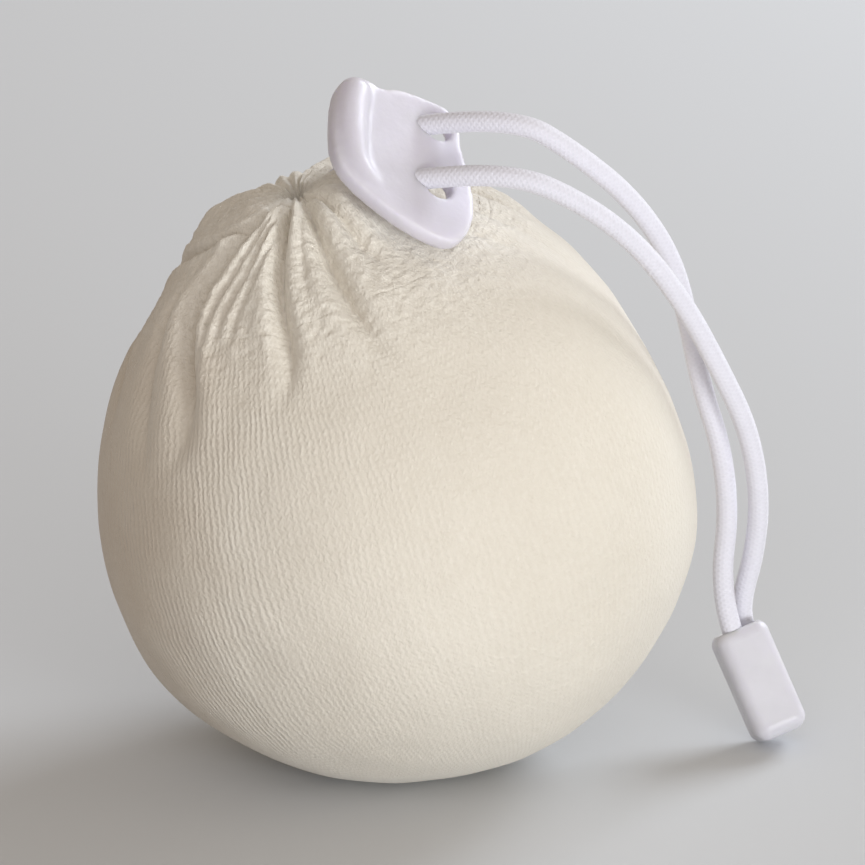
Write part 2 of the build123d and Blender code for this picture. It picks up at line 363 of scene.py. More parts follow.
def joined_mesh(name, meshes):
    """One mesh out of several, which are removed."""
    whole = bmesh.new()
    for part in meshes:
        whole.from_mesh(part)
        bpy.data.meshes.remove(part)
    mesh = bpy.data.meshes.new(name)
    whole.to_mesh(mesh)
    whole.free()
    return mesh


def rings_round(line, sides, radius):
    """Rings of points round a line, each turned as little as possible from the last."""
    line = np.asarray(line, float)
    ahead = np.gradient(line, axis=0)
    ahead /= np.linalg.norm(ahead, axis=1)[:, None]
    start = np.cross(ahead[0], [0.0, 0.0, 1.0])
    if np.linalg.norm(start) < 0.1:
        start = np.cross(ahead[0], [0.0, 1.0, 0.0])
    aside = start / np.linalg.norm(start)
    angles = np.arange(sides) / sides * 2 * np.pi
    radius = np.broadcast_to(radius, (len(line), sides))
    rings = []
    for at, way, reach in zip(line, ahead, radius):
        aside = aside - way * aside.dot(way)
        aside /= np.linalg.norm(aside)
        up = np.cross(way, aside)
        circle = np.outer(np.cos(angles), aside) + np.outer(np.sin(angles), up)
        rings.append(at + reach[:, None] * circle)
    return np.array(rings)


def evenly(line, step):
    """Points a step apart along a line."""
    line = np.asarray(line, float)
    runs = np.linalg.norm(np.diff(line, axis=0), axis=1)
    reach = np.concatenate([[0], np.cumsum(runs)])
    marks = np.linspace(0, reach[-1], max(2, round(reach[-1] / step) + 1))
    return np.stack([np.interp(marks, reach, line[:, k]) for k in range(3)], 1)


# ---------------------------------------------------------------- materials


def add(material, kind, inputs=None, **settings):
    """A node with its settings, and its inputs linked or set."""
    made = material.node_tree.nodes.new(kind)
    for key, value in settings.items():
        setattr(made, key, value)
    for key, value in (inputs or {}).items():
        if isinstance(value, bpy.types.NodeSocket):
            material.node_tree.links.new(value, made.inputs[key])
        else:
            made.inputs[key].default_value = value
    return made


def calc(material, operation, a, b=0.0, c=0.0):
    return add(material, "ShaderNodeMath", {0: a, 1: b, 2: c}, operation=operation).outputs[0]


def wave(material, angle):
    """A sine wave from 0 to 1."""
    return calc(material, "MULTIPLY_ADD", calc(material, "SINE", angle), 0.5, 0.5)


def blend_colours(material, factor, first, second):
    made = add(material, "ShaderNodeMix", {0: factor, 6: first, 7: second}, data_type="RGBA")
    return made.outputs[2]


def grain(material, vector, scale, detail=2.0, rough=0.5):
    settings = {"Vector": vector, "Scale": scale, "Detail": detail, "Roughness": rough}
    return add(material, "ShaderNodeTexNoise", settings).outputs[0]


def spread(material, value, low, high, to_low=0.0, to_high=1.0):
    inputs = {"Value": value, "From Min": low, "From Max": high, "To Min": to_low, "To Max": to_high}
    return add(material, "ShaderNodeMapRange", inputs).outputs[0]


def new_material(name, roughness, sheen=0.0, specular=0.5):
    material = bpy.data.materials.new(name)
    material.use_nodes = True
    shader = material.node_tree.nodes["Principled BSDF"]
    shader.inputs["Roughness"].default_value = roughness
    shader.inputs["Sheen Weight"].default_value = sheen
    shader.inputs["Sheen Roughness"].default_value = 0.5
    shader.inputs["Specular IOR Level"].default_value = specular
    return material, shader


def link(material, output, shader, socket):
    material.node_tree.links.new(output, shader.inputs[socket])


def bumped(material, shader, height, distance):
    """Relief of that many metres from a height of 0 to 1."""
    made = add(material, "ShaderNodeBump", {"Height": height, "Distance": distance, "Strength": 1.0})
    link(material, made.outputs[0], shader, "Normal")


def uv_parts(material):
    uv = add(material, "ShaderNodeUVMap", uv_map="cloth").outputs[0]
    parts = add(material, "ShaderNodeSeparateXYZ", {0: uv})
    return parts.outputs[0], parts.outputs[1]


def place(material):
    return add(material, "ShaderNodeTexCoord").outputs["Object"]


KNIT_RELIEF = 0.00022
RIB_SHARE = 0.75
STITCH_SHARE = 0.16
FUZZ_SHARE = 0.35
COURSE = 1.05  # one row of stitches, in mm
STITCH_SLANT = 1.2
RIBS_FADE = (-0.030, 0.006)  # between these x, in metres, the ribs fade towards the stretched side
LEFT_SHADE_X = (-0.045, -0.016)  # between these x the cloth turns from a browner painted shade on its left side to its own cream
GATHERED = (0.026, 0.039)  # between these heights up the bag's axis the knit turns to crepe, and its colour to painted light
CREAM = (0.715, 0.668, 0.588, 1)
CREAM_LIGHT = (0.745, 0.700, 0.622, 1)
# The lighter cream of painted light on the gathered hem.
CREAM_PAINTED_LIGHT = (0.86, 0.82, 0.745, 1)
HEM_PAINTED_LIGHT = 0.7  # how far the hem is painted lighter than the knit, as painted light from above
# The browner, darker colour of painted shade on the bag's left side.
CREAM_LEFT_SHADE = (0.47, 0.37, 0.28, 1)
# The colour of painted shade in grooves and between plies, and of the cotton's own specks.
CREAM_SHADE_AND_SPECKS = (0.58, 0.525, 0.44, 1)
THREAD_LIGHT = (0.80, 0.75, 0.66, 1)


def towards_mouth(material, where, low, high):
    """0 to 1 up the bag's axis, between two heights from its centre in metres."""
    parts = {0: where, 1: tuple(BALL_CENTRE * MM)}
    offset = add(material, "ShaderNodeVectorMath", parts, operation="SUBTRACT").outputs[0]
    parts = {0: offset, 1: tuple(BAG_AXES[2])}
    up = add(material, "ShaderNodeVectorMath", parts, operation="DOT_PRODUCT").outputs["Value"]
    return spread(material, up, low, high)


def wale_number(material, across, where):
    """The number of wales round the bag up to a place, with the wander of a soft knit."""
    wander = spread(material, grain(material, where, 210.0, 3.0), 0.3, 0.7, -0.34, 0.34)
    drift = spread(material, grain(material, where, 22.0, 1.0), 0.3, 0.7, -1.4, 1.4)
    return calc(material, "MULTIPLY_ADD", across, float(WALES), calc(material, "ADD", wander, drift))


def stitch_rows(material, wale, along):
    """The rows of slanted stitches, 0 to 1."""
    slant = calc(material, "ABSOLUTE", calc(material, "SUBTRACT", calc(material, "FRACT", wale), 0.5))
    rows = calc(material, "MULTIPLY", along, 1 / COURSE)
    course = calc(material, "MULTIPLY_ADD", slant, STITCH_SLANT, rows)
    return wave(material, calc(material, "MULTIPLY", course, 2 * math.pi))


def rib_noise(material, wale, along, per_wale, per_mm):
    """Noise that is drawn out along the ribs."""
    parts = {0: calc(material, "MULTIPLY", wale, per_wale), 1: calc(material, "MULTIPLY", along, per_mm)}
    at = add(material, "ShaderNodeCombineXYZ", parts).outputs[0]
    return grain(material, at, 1.0, 2.0)


def rib_wear(material, wale, along, where, side):
    """How strongly the ribs show: uneven along them, in patches, and less where the cloth is stretched."""
    worn = spread(material, rib_noise(material, wale, along, 1.0, 0.30), 0.3, 0.7, 0.35, 1.0)
    stretched = spread(material, side, *RIBS_FADE, 1.0, 0.40)
    patch = spread(material, grain(material, where, 60.0, 2.0), 0.35, 0.65, 0.38, 1.0)
    worn = calc(material, "MULTIPLY", worn, calc(material, "MULTIPLY", stretched, patch))
    lumpy = spread(material, rib_noise(material, wale, along, 0.9, 0.85), 0.3, 0.7, 0.45, 1.15)
    return calc(material, "MULTIPLY", worn, lumpy)


def cream_cotton(material, where, side, gathered, relief):
    """Blotched cotton, specked: painted light makes it brighter at the hem; painted shade makes it browner
    on its left side and darker in its grooves.
    """
    blotch = spread(material, grain(material, where, 45.0, 3.0), 0.35, 0.65)
    base = blend_colours(material, blotch, CREAM, CREAM_LIGHT)
    # Painted light: the gathered cloth towards the mouth is painted lighter, as if lit from above.
    painted_light = calc(material, "MULTIPLY", gathered, HEM_PAINTED_LIGHT)
    base = blend_colours(material, painted_light, base, CREAM_PAINTED_LIGHT)
    # Painted shade: the left side, away from the key light, turns browner and darker.
    wavering = calc(material, "MULTIPLY_ADD", blotch, 0.008, side)
    base = blend_colours(material, spread(material, wavering, *LEFT_SHADE_X, 1.0, 0.0), base, CREAM_LEFT_SHADE)
    # Painted shade: the colour darkens where the knit's relief is low, in the ribs' grooves and the crepe's
    # hollows.
    pits = calc(material, "SUBTRACT", relief, calc(material, "MULTIPLY", gathered, 0.35))
    painted_groove_shade = spread(material, pits, 0.25, 0.95, 0.45, 0.0)
    colour = blend_colours(material, painted_groove_shade, base, CREAM_SHADE_AND_SPECKS)
    specks = spread(material, grain(material, where, 1500.0, 1.0), 0.70, 0.80, 0.0, 0.35)
    return blend_colours(material, specks, colour, CREAM_SHADE_AND_SPECKS)


def knit_cotton(name):
    """Fine ribbed jersey: wales from mouth to base, lumpy along them, and a crepe crinkle at the hem."""
    material, shader = new_material(name, 0.92, sheen=0.25, specular=0.15)
    across, along = uv_parts(material)
    where = place(material)
    side = add(material, "ShaderNodeSeparateXYZ", {0: where}).outputs[0]
    gathered = towards_mouth(material, where, *GATHERED)
    wale = wale_number(material, across, where)
    rib = wave(material, calc(material, "MULTIPLY", wale, 2 * math.pi))
    worn = rib_wear(material, wale, along, where, side)
    ribbed = calc(material, "MULTIPLY", calc(material, "MULTIPLY", rib, worn), RIB_SHARE)
    ribbed = calc(material, "MULTIPLY", ribbed, spread(material, gathered, 0.0, 1.0, 1.0, 0.55))
    crepe = grain(material, where, 950.0, 4.0, 0.6)
    crepe = calc(material, "MULTIPLY", crepe, spread(material, gathered, 0.0, 1.0, 0.75, 2.1))
    stitch = stitch_rows(material, wale, along)
    height = calc(material, "MULTIPLY_ADD", stitch, STITCH_SHARE * RIB_SHARE, ribbed)
    height = calc(material, "ADD", height, crepe)
    height = calc(material, "MULTIPLY_ADD", grain(material, where, 3200.0, 2.0, 0.6), FUZZ_SHARE, height)
    bumped(material, shader, height, KNIT_RELIEF)
    relief = calc(material, "ADD", crepe, ribbed)
    link(material, cream_cotton(material, where, side, gathered, relief), shader, "Base Color")
    return material


def twisted(material, plies, twist):
    """The relief of twisted plies, 0 to 1, with a twist in radians for each mm."""
    across, along = uv_parts(material)
    turn = calc(material, "MULTIPLY", across, 2 * math.pi * plies)
    return wave(material, calc(material, "MULTIPLY_ADD", along, twist, turn))


def thread_material():
    material, shader = new_material("thread_mat", 0.7, sheen=0.3, specular=0.3)
    ply = twisted(material, 2, 9.0)
    bumped(material, shader, ply, 0.00005)
    # Painted shade: the thread darkens between its plies.
    link(material, blend_colours(material, ply, CREAM_SHADE_AND_SPECKS, THREAD_LIGHT), shader, "Base Color")
    return material


def muslin_material():
    material, shader = new_material("muslin_mat", 0.9, sheen=0.2, specular=0.15)
    where = place(material)
    across, along = uv_parts(material)
    warp = calc(material, "SINE", calc(material, "MULTIPLY", across, 400 * math.pi))
    weft = calc(material, "SINE", calc(material, "MULTIPLY", along, 5.0))
    weave = calc(material, "MULTIPLY_ADD", calc(material, "MULTIPLY", warp, weft), 0.5, 0.5)
    height = calc(material, "MULTIPLY_ADD", grain(material, where, 300.0, 3.0), 0.8, weave)
    bumped(material, shader, height, 0.00012)
    stain = spread(material, grain(material, where, 60.0, 3.0), 0.4, 0.65)
    # Painted shade: the cloth darkens in the weave's hollows.
    cloth = blend_colours(material, weave, (0.62, 0.56, 0.42, 1), (0.74, 0.69, 0.56, 1))
    link(material, blend_colours(material, stain, cloth, (0.55, 0.50, 0.32, 1)), shader, "Base Color")
    return material


def string_material():
    material, shader = new_material("string_mat", 0.85, sheen=0.3, specular=0.2)
    ply = twisted(material, 3, 7.0)
    bumped(material, shader, ply, 0.0001)
    # Painted shade: the jute darkens between its plies.
    jute = blend_colours(material, ply, (0.50, 0.40, 0.26, 1), (0.72, 0.62, 0.46, 1))
    link(material, jute, shader, "Base Color")
    return material


def herb_material():
    material, shader = new_material("herb_mat", 0.95, specular=0.1)
    where = place(material)
    cells = add(material, "ShaderNodeTexVoronoi", {"Vector": where, "Scale": 420.0})
    shade = spread(material, grain(material, where, 700.0, 4.0, 0.65), 0.3, 0.7)
    leaf = blend_colours(material, shade, (0.14, 0.13, 0.045, 1), (0.36, 0.31, 0.13, 1))
    hue = add(material, "ShaderNodeSeparateColor", {0: cells.outputs["Color"]}).outputs[0]
    bits = spread(material, hue, 0.55, 0.65)
    link(material, blend_colours(material, bits, leaf, (0.33, 0.20, 0.09, 1)), shader, "Base Color")
    bumped(material, shader, cells.outputs["Distance"], 0.0012)
    return material


def elastic_material():
    """White braided elastic: plaited yarns, with a little grey painted shade between them and the fuzz's
    random tone.
    """
    material, shader = new_material("elastic_mat", 0.72, sheen=0.35, specular=0.3)
    across, along = uv_parts(material)
    turn = calc(material, "MULTIPLY", across, 2 * math.pi * CORD_YARNS)
    run = calc(material, "MULTIPLY", along, 2 * math.pi / CORD_PITCH)
    one = calc(material, "SINE", calc(material, "ADD", turn, run))
    two = calc(material, "SINE", calc(material, "SUBTRACT", turn, run))
    plait = calc(material, "MULTIPLY_ADD", calc(material, "MAXIMUM", one, two), 0.5, 0.5)
    fuzz = grain(material, place(material), 2600.0, 3.0, 0.6)
    height = calc(material, "MULTIPLY_ADD", fuzz, 0.6, plait)
    bumped(material, shader, height, 0.000045)
    # Painted shade: grey between the yarns, mixed with the fuzz's random tone.
    shade = spread(material, height, -0.6, 1.4)
    white = blend_colours(material, shade, (0.64, 0.63, 0.695, 1), (0.70, 0.69, 0.755, 1))
    link(material, white, shader, "Base Color")
    return material


def plastic_material(name, dark, light, roughness, depth_mm):
    """Milky moulded plastic: light goes a little way in, and the surface is faintly uneven."""
    material, shader = new_material(name, roughness, specular=0.45)
    where = place(material)
    cloud = spread(material, grain(material, where, 130.0, 3.0), 0.3, 0.7)
    link(material, blend_colours(material, cloud, dark, light), shader, "Base Color")
    shader.inputs["Subsurface Weight"].default_value = 0.8
    shader.inputs["Subsurface Radius"].default_value = (1.0, 0.95, 1.1)
    shader.inputs["Subsurface Scale"].default_value = depth_mm * MM
    uneven = grain(material, where, 400.0, 3.0)
    polish = spread(material, uneven, 0.3, 0.7, roughness - 0.08, roughness + 0.12)
    link(material, polish, shader, "Roughness")
    bumped(material, shader, grain(material, where, 700.0, 3.0), 0.00005)
    return material


knit = knit_cotton("knit_mat")
hem_cloth = knit_cotton("hem_mat")
thread = thread_material()
elastic = elastic_material()
stopper_shades = ((0.585, 0.565, 0.62, 1), (0.645, 0.625, 0.69, 1))
stopper_plastic = plastic_material("stopper_mat", *stopper_shades, 0.40, 3.6)
clip_shades = ((0.575, 0.565, 0.61, 1), (0.63, 0.62, 0.67, 1))
clip_plastic = plastic_material("clip_mat", *clip_shades, 0.40, 1.6)


# ---------------------------------------------------------------- the bag and its hem

SEAM_AZIMUTH = 90.0  # where the knit's sides meet, at the back
# The seam's stitches, in degrees of the bag: their end, pitch, half width and length.
SEAM_END = 150
SEAM_PITCH = 2.1
SEAM_HALF = 0.55
SEAM_STITCH = 1.5
# The hem's stitches: how many, their length and height up from the edge in degrees, and their depth in mm.
HEM_STITCHES = 92
HEM_STITCH_TURN = 2.7
HEM_STITCH_UP = 2.2
HEM_STITCH_SUNK = 0.12


def azimuths(count):
    return SEAM_AZIMUTH + np.arange(count) * 360.0 / count


def hem_line(azimuth):
    """The wandering lower edge of the hem, as polar angles."""
    a = np.radians(azimuth)
    return HEM_POLAR + HEM_WAVE * (0.6 * np.sin(3 * a + 0.8) + 0.4 * np.sin(7 * a + 2.0))


def bag_body():
    """The stuffed knit bag up to where it goes under the hem band, with its inner face."""
    outside = np.concatenate([np.linspace(179.2, 62, 108), np.linspace(61.4, UNDER_HEM, 88)])
    inside = np.linspace(UNDER_HEM, 178, 50)
    round_it = azimuths(COLUMNS)
    polar, azimuth = np.meshgrid(outside, round_it, indexing="ij")
    tucked = TUCK * smoothstep((hem_line(azimuth) - polar - 0.15) / 1.6)
    reach = bag_reach(polar, azimuth)
    gathered = polar < CRINKLE_END
    reach[gathered] += crepe_relief(polar[gathered], azimuth[gathered], reach[gathered])
    outer = on_floor(spot(polar, azimuth, reach - tucked))
    polar, azimuth = np.meshgrid(inside, round_it, indexing="ij")
    near_hem = smoothstep((50 - polar) / 12)
    lining = np.full_like(polar, BALL_R - BAG_WALL - 1.0) - 0.5 * near_hem
    under = bag_reach(polar, azimuth) - BAG_WALL + 0.2 - 1.25 * near_hem
    inner = spot(polar, azimuth, np.minimum(lining, under))
    inner[..., 2] = np.maximum(inner[..., 2], BAG_WALL)
    mesh = ring_mesh("bag_body", np.concatenate([outer, inner]))
    piece = finished("bag_body", mesh, knit)
    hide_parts("outer_bag")


def band_reach(polar, azimuth):
    """The outside of the hem band: the bag's shape, a little proud, crinkled like crepe."""
    reach = bag_reach(polar, azimuth)
    proud = BAND_PROUD * smoothstep((polar - 6) / 10) * smoothstep((HEM_POLAR + 1 - polar) / 5)
    return reach + crepe_relief(polar, azimuth, reach) + proud


def hem_band():
    """The gathered hem that holds the drawstring, from inside the mouth to its sewn edge."""
    round_it = azimuths(COLUMNS)
    edge = hem_line(round_it)
    rows = []
    for share in np.linspace(0, 1, BAND_ROWS[0]):
        polar = MOUTH_POLAR + (edge - MOUTH_POLAR) * share
        lift = -0.05 * smoothstep((share - 0.97) / 0.03)
        rows.append(spot(polar, round_it, band_reach(polar, round_it) + lift))
    for share in np.linspace(1, 0, BAND_ROWS[1]):
        polar = MOUTH_POLAR + 0.3 + (edge - MOUTH_POLAR - 0.3) * share
        under = band_reach(polar, round_it) - BAND_THICK
        near_mouth = smoothstep((16 - polar) / 5)
        rows.append(spot(polar, round_it, under + (TUNNEL_FLOOR - under) * near_mouth))
    mesh = ring_mesh("hem_band", rows)
    piece = finished("hem_band", mesh, hem_cloth)
    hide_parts("drawstring_casing")


def stitch_mesh(name, ends, lift, thickness):
    """Short stitches from point to point, each raised in its middle."""
    meshes = []
    shares = np.linspace(0, 1, 7)
    rise = np.sin(shares * np.pi) * lift
    for start, finish in ends:
        out = (start - BALL_CENTRE) / np.linalg.norm(start - BALL_CENTRE)
        line = start + np.outer(shares, finish - start) + np.outer(rise, out)
        meshes.append(ring_mesh("stitch", rings_round(line, 6, thickness / 2)))
    return joined_mesh(name, meshes)


def hem_stitches():
    """The row of stitches a little way up from the hem's edge."""
    ends = []
    for azimuth in azimuths(HEM_STITCHES):
        pair = np.array([azimuth, azimuth + HEM_STITCH_TURN])
        polar = hem_line(pair) - HEM_STITCH_UP
        ends.append(spot(polar, pair, band_reach(polar, pair) - HEM_STITCH_SUNK))
    piece = finished("hem_stitches", stitch_mesh("hem_stitches", ends, 0.10, 0.16), thread)
    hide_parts("casing_stitching")


def back_seam():
    """Flat seam stitches down the back, in pairs that cross the join."""
    ends = []
    for polar in np.arange(HEM_POLAR + 3, SEAM_END, SEAM_PITCH):
        side = SEAM_HALF / math.sin(math.radians(polar))
        for lean in (-1, 1):
            down = np.array([polar, polar + SEAM_STITCH])
            across = SEAM_AZIMUTH + lean * np.array([side, 0.1 * side])
            ends.append(on_floor(spot(down, across, bag_reach(down, across) - 0.05)))
    piece = finished("back_seam", stitch_mesh("back_seam", ends, 0.22, 0.32), thread)
    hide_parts("side_seam")


# ---------------------------------------------------------------- what is inside the bag

POUCH_R = 40.9
HERBS_R = 39.3
POUCH_FLOOR = BAG_WALL + 0.35  # the lowest that the pouch and the herbs reach, in mm
HERBS_FLOOR = BAG_WALL + 1.4
# The pouch's shoulder and tied neck, and the top of the herbs: (radius, height over the ball's centre).
SHOULDER = [(19.5, 35.9), (16.5, 36.4), (13.0, 36.6), (9.5, 36.7), (6.5, 36.9), (4.2, 37.3), (2.6, 38.0)]
NECK = [(1.7, 38.8), (1.5, 39.4), (1.7, 40.0), (2.1, 41.0), (2.0, 42.0), (1.2, 42.4)]
HERBS_TOP = [(17.0, 35.0), (13.0, 35.3), (9.0, 35.5), (5.0, 35.6), (1.5, 35.7)]
TIE_R = 2.55
TIE_TURNS = 2.25
TIE_HEIGHT = 38.95
TIE_PITCH = 0.36
TIE_THICK = 0.64


def bowl(radius, start, end, count):
    """A round profile of (radius, height), between two angles in degrees from its lowest point."""
    angles = np.radians(np.linspace(start, end, count))
    return [(radius * math.sin(a), -radius * math.cos(a)) for a in angles]


def turned(profile, columns, pleats=0, pleat_depth=0.0):
    """Rings of (radius, height) turned round the bag's axis, with pleats drawn into the narrow part."""
    angles = np.radians(azimuths(columns))
    rings = []
    for radius, height in profile:
        gather = pleat_depth * smoothstep((22 - radius) / 14) * min(1, radius / 3)
        r = radius + gather * np.sin(pleats * angles)
        local = np.stack([r * np.cos(angles), r * np.sin(angles), np.full_like(angles, height)], -1)
        rings.append(BALL_CENTRE + local @ BAG_AXES)
    return np.array(rings)


def stuffed(rings, bulge, gap, lowest):
    """Rings pushed out by a bulge in mm, held inside the bag and over its base."""
    out = rings - BALL_CENTRE
    out /= np.linalg.norm(out, axis=2)[..., None]
    rings = held_inside(rings + out * bulge[..., None], gap)
    rings[..., 2] = np.maximum(rings[..., 2], lowest)
    return rings


def herb_pouch():
    """The muslin pouch, tied at its neck just under the mouth."""
    rings = turned(bowl(POUCH_R, 3, 148, 60) + SHOULDER + NECK, 144, 18, 0.35)
    lumps = 0.3 * soft_noise(rings, 7.0, 5.0)
    rings = stuffed(rings, lumps - 0.2, POUCH_DEPTH, POUCH_FLOOR)
    piece = finished("muslin_pouch", ring_mesh("muslin_pouch", rings), muslin_material())
    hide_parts("herb_pouch")


def pouch_tie():
    """String wound twice round the pouch's neck."""
    turns = np.linspace(0, TIE_TURNS, 90)
    angles = 2 * np.pi * turns
    height = TIE_HEIGHT + TIE_PITCH * turns
    local = np.stack([TIE_R * np.cos(angles), TIE_R * np.sin(angles), height], -1)
    line = BALL_CENTRE + local @ BAG_AXES
    mesh = ring_mesh("pouch_string", rings_round(line, 10, TIE_THICK / 2))
    piece = finished("pouch_string", mesh, string_material())
    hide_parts("pouch_tie")


def herb_filling():
    """Packed dried herbs, lumpy all over."""
    rings = turned(bowl(HERBS_R, 2, 152, 90) + HERBS_TOP, 160)
    bits = soft_noise(rings, 2.6, 50.0) + 0.6 * soft_noise(rings, 1.2, 61.0)
    rings = stuffed(rings, 0.55 * bits - 0.3, HERBS_DEPTH, HERBS_FLOOR)
    piece = finished("packed_herbs", ring_mesh("packed_herbs", rings), herb_material())
    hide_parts("herb_filling")


# ---------------------------------------------------------------- the drawstring

BRAID_STEP = 0.16  # between rings of the cord, in mm
KNOT_HALF = (2.6, 2.4, 3.7)  # half the knot's size aside, out of its face and along the cord end
KNOT_WAY = np.array([0.400, -0.3134, -0.8615])
KNOT_FACE = np.array([0.159, -0.902, 0.402])


def smooth_line(name, route):
    """The points along a route's NURBS line, in mm."""
    curve = bpy.data.curves.new(name, "CURVE")
    curve.dimensions = "3D"
    spline = curve.splines.new("NURBS")
    spline.points.add(len(route) - 1)
    for point, at in zip(spline.points, route):
        point.co = (*at, 1.0)
    spline.order_u = 3
    spline.use_endpoint_u = True
    spline.resolution_u = 16
    holder = bpy.data.objects.new(name, curve)
    mesh = bpy.data.meshes.new_from_object(holder)
    line = np.array([v.co[:] for v in mesh.vertices]) / MM
    bpy.data.objects.remove(holder)
    bpy.data.curves.remove(curve)
    bpy.data.meshes.remove(mesh)
    return line


def braided(line):
    """Rings round a line with the relief of a plaited cord."""
    line = evenly(line, BRAID_STEP)
    sides = 32
    along = np.arange(len(line))[:, None] * BRAID_STEP / CORD_PITCH * 2 * np.pi
    turn = np.arange(sides)[None, :] / sides * 2 * np.pi * CORD_YARNS
    plait = np.maximum(np.sin(turn + along), np.sin(turn - along))
    return rings_round(line, sides, CORD_D / 2 - CORD_RELIEF + CORD_RELIEF * plait)


def strand(name, route, node):
    """A free end of the cord, from the loop through the stopper to the cord end."""
    line = smooth_line(name, route)
    piece = finished(name, ring_mesh(name, braided(line)), elastic)
    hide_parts(node)


def drawn_loop():
    """The cord's bend round the mouth, inside the hem."""
    angles = np.radians(np.linspace(90, 270, 60))
    height = np.full_like(angles, LOOP_HEIGHT)
    local = np.stack([LOOP_R * np.cos(angles), LOOP_R * np.sin(angles), height], -1)
    line = BALL_CENTRE + local @ BAG_AXES
    piece = finished("drawn_loop", ring_mesh("drawn_loop", braided(line)), elastic)
    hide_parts("drawstring_loop")


def knot():
    """The two ends tied into one tight lump inside the cord end."""
    low, high = (np.array(c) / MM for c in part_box("cord_end_knot"))
    centre = (low + high) / 2
    side = np.cross(KNOT_WAY, KNOT_FACE)
    angles = np.arange(48) / 48 * 2 * np.pi
    rings = []
    for lean in np.radians(np.linspace(-88, 88, 48)):
        swirl = 1 + 0.07 * np.sin(3 * angles + 5 * lean)
        wide = math.cos(lean) ** 0.55 * swirl
        ring = centre + KNOT_HALF[2] * math.sin(lean) * KNOT_WAY
        ring = ring + np.outer(KNOT_HALF[0] * wide * np.cos(angles), side)
        ring = ring + np.outer(KNOT_HALF[1] * wide * np.sin(angles), KNOT_FACE)
        rings.append(ring)
    piece = finished("tied_ends", ring_mesh("tied_ends", rings), elastic)
    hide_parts("cord_end_knot")


# ---------------------------------------------------------------- the stopper


def modified(mesh, kind, **settings):
    """A mesh after one modifier, in place of the first."""
    holder = bpy.data.objects.new("work", mesh)
    bpy.context.scene.collection.objects.link(holder)
    modifier = holder.modifiers.new(kind, kind)
    for key, value in settings.items():
        setattr(modifier, key, value)
    seen = holder.evaluated_get(bpy.context.evaluated_depsgraph_get())
    made = bpy.data.meshes.new_from_object(seen)
    bpy.data.objects.remove(holder)
    bpy.data.meshes.remove(mesh)
    return made


def through(points, per_run, closed=False):
    """A smooth line through points, as a Catmull-Rom curve, open or closed."""
    points = np.array(points, float)
    count = len(points)
    line = []
    for k in range(count if closed else count - 1):
        near = [k + step for step in (-1, 0, 1, 2)]
        if closed:
            a, b, c, d = (points[n % count] for n in near)
        else:
            a, b, c, d = (points[min(max(n, 0), count - 1)] for n in near)
        square = 2 * a - 5 * b + 4 * c - d
        cube = 3 * b - a - 3 * c + d
        for t in np.arange(per_run) / per_run:
            line.append(0.5 * (2 * b + (c - a) * t + square * t**2 + cube * t**3))
    if not closed:
        line.append(points[-1])
    return np.array(line)


def sausage(line, radii, sides=28):
    """A closed skin of changing radius round a line, with round ends."""
    line = through(line, 8)
    radius = np.interp(np.linspace(0, len(radii) - 1, len(line)), np.arange(len(radii)), radii)
    steep = np.radians(np.linspace(84, 8, 7))
    ahead, back = line[1] - line[0], line[-1] - line[-2]
    ahead, back = ahead / np.linalg.norm(ahead), back / np.linalg.norm(back)
    first = [line[0] - ahead * radius[0] * math.sin(a) for a in steep]
    last = [line[-1] + back * radius[-1] * math.sin(a) for a in steep[::-1]]
    whole = np.concatenate([first, line, last])
    reach = np.concatenate([radius[0] * np.cos(steep), radius, radius[-1] * np.cos(steep[::-1])])
    return ring_mesh("sausage", rings_round(whole, sides, reach[:, None]))


def stopper_axes():
    """Across the plate, up it and out of its face."""
    out = STOPPER_FACE / np.linalg.norm(STOPPER_FACE)
    across = STOPPER_ACROSS - out * out.dot(STOPPER_ACROSS)
    across /= np.linalg.norm(across)
    return np.array([across, np.cross(out, across), out])


def on_plate(points):
    return STOPPER_CENTRE + np.array(points, float) @ stopper_axes()


def plate_mesh():
    """The plate, extruded from its outline."""
    outline = through(STOPPER_OUTLINE, 6, closed=True)
    count = len(outline)
    levels = (-PLATE_THICK / 2, PLATE_THICK / 2)
    points = np.concatenate([np.column_stack([outline, np.full(count, level)]) for level in levels])
    faces = [tuple(range(count))[::-1], tuple(range(count, 2 * count))]
    faces += [(k, (k + 1) % count, count + (k + 1) % count, count + k) for k in range(count)]
    mesh = bpy.data.meshes.new("plate")
    mesh.from_pydata((on_plate(points) * MM).tolist(), [], faces)
    return mesh


def oval_bar(middle, way, side, half_side, up, half_up, reach):
    """An oval bar, as an object that cuts a hole."""
    angles = np.arange(40) / 40 * 2 * np.pi
    section = np.outer(half_side * np.cos(angles), side) + np.outer(half_up * np.sin(angles), up)
    rows = [middle + way * share * reach + section for share in (-1, -0.4, 0.4, 1)]
    holder = bpy.data.objects.new("hole", ring_mesh("hole", rows))
    bpy.context.scene.collection.objects.link(holder)
    return holder


def gap_cutter(across, up_plate):
    """The bar that cuts an opening straight through the plate."""
    across_axis, up_axis, out = stopper_axes()
    middle = on_plate((across, up_plate, 0.0))
    return oval_bar(middle, out, across_axis, GAP_HALF[0], up_axis, GAP_HALF[1], CUTTER_REACH)


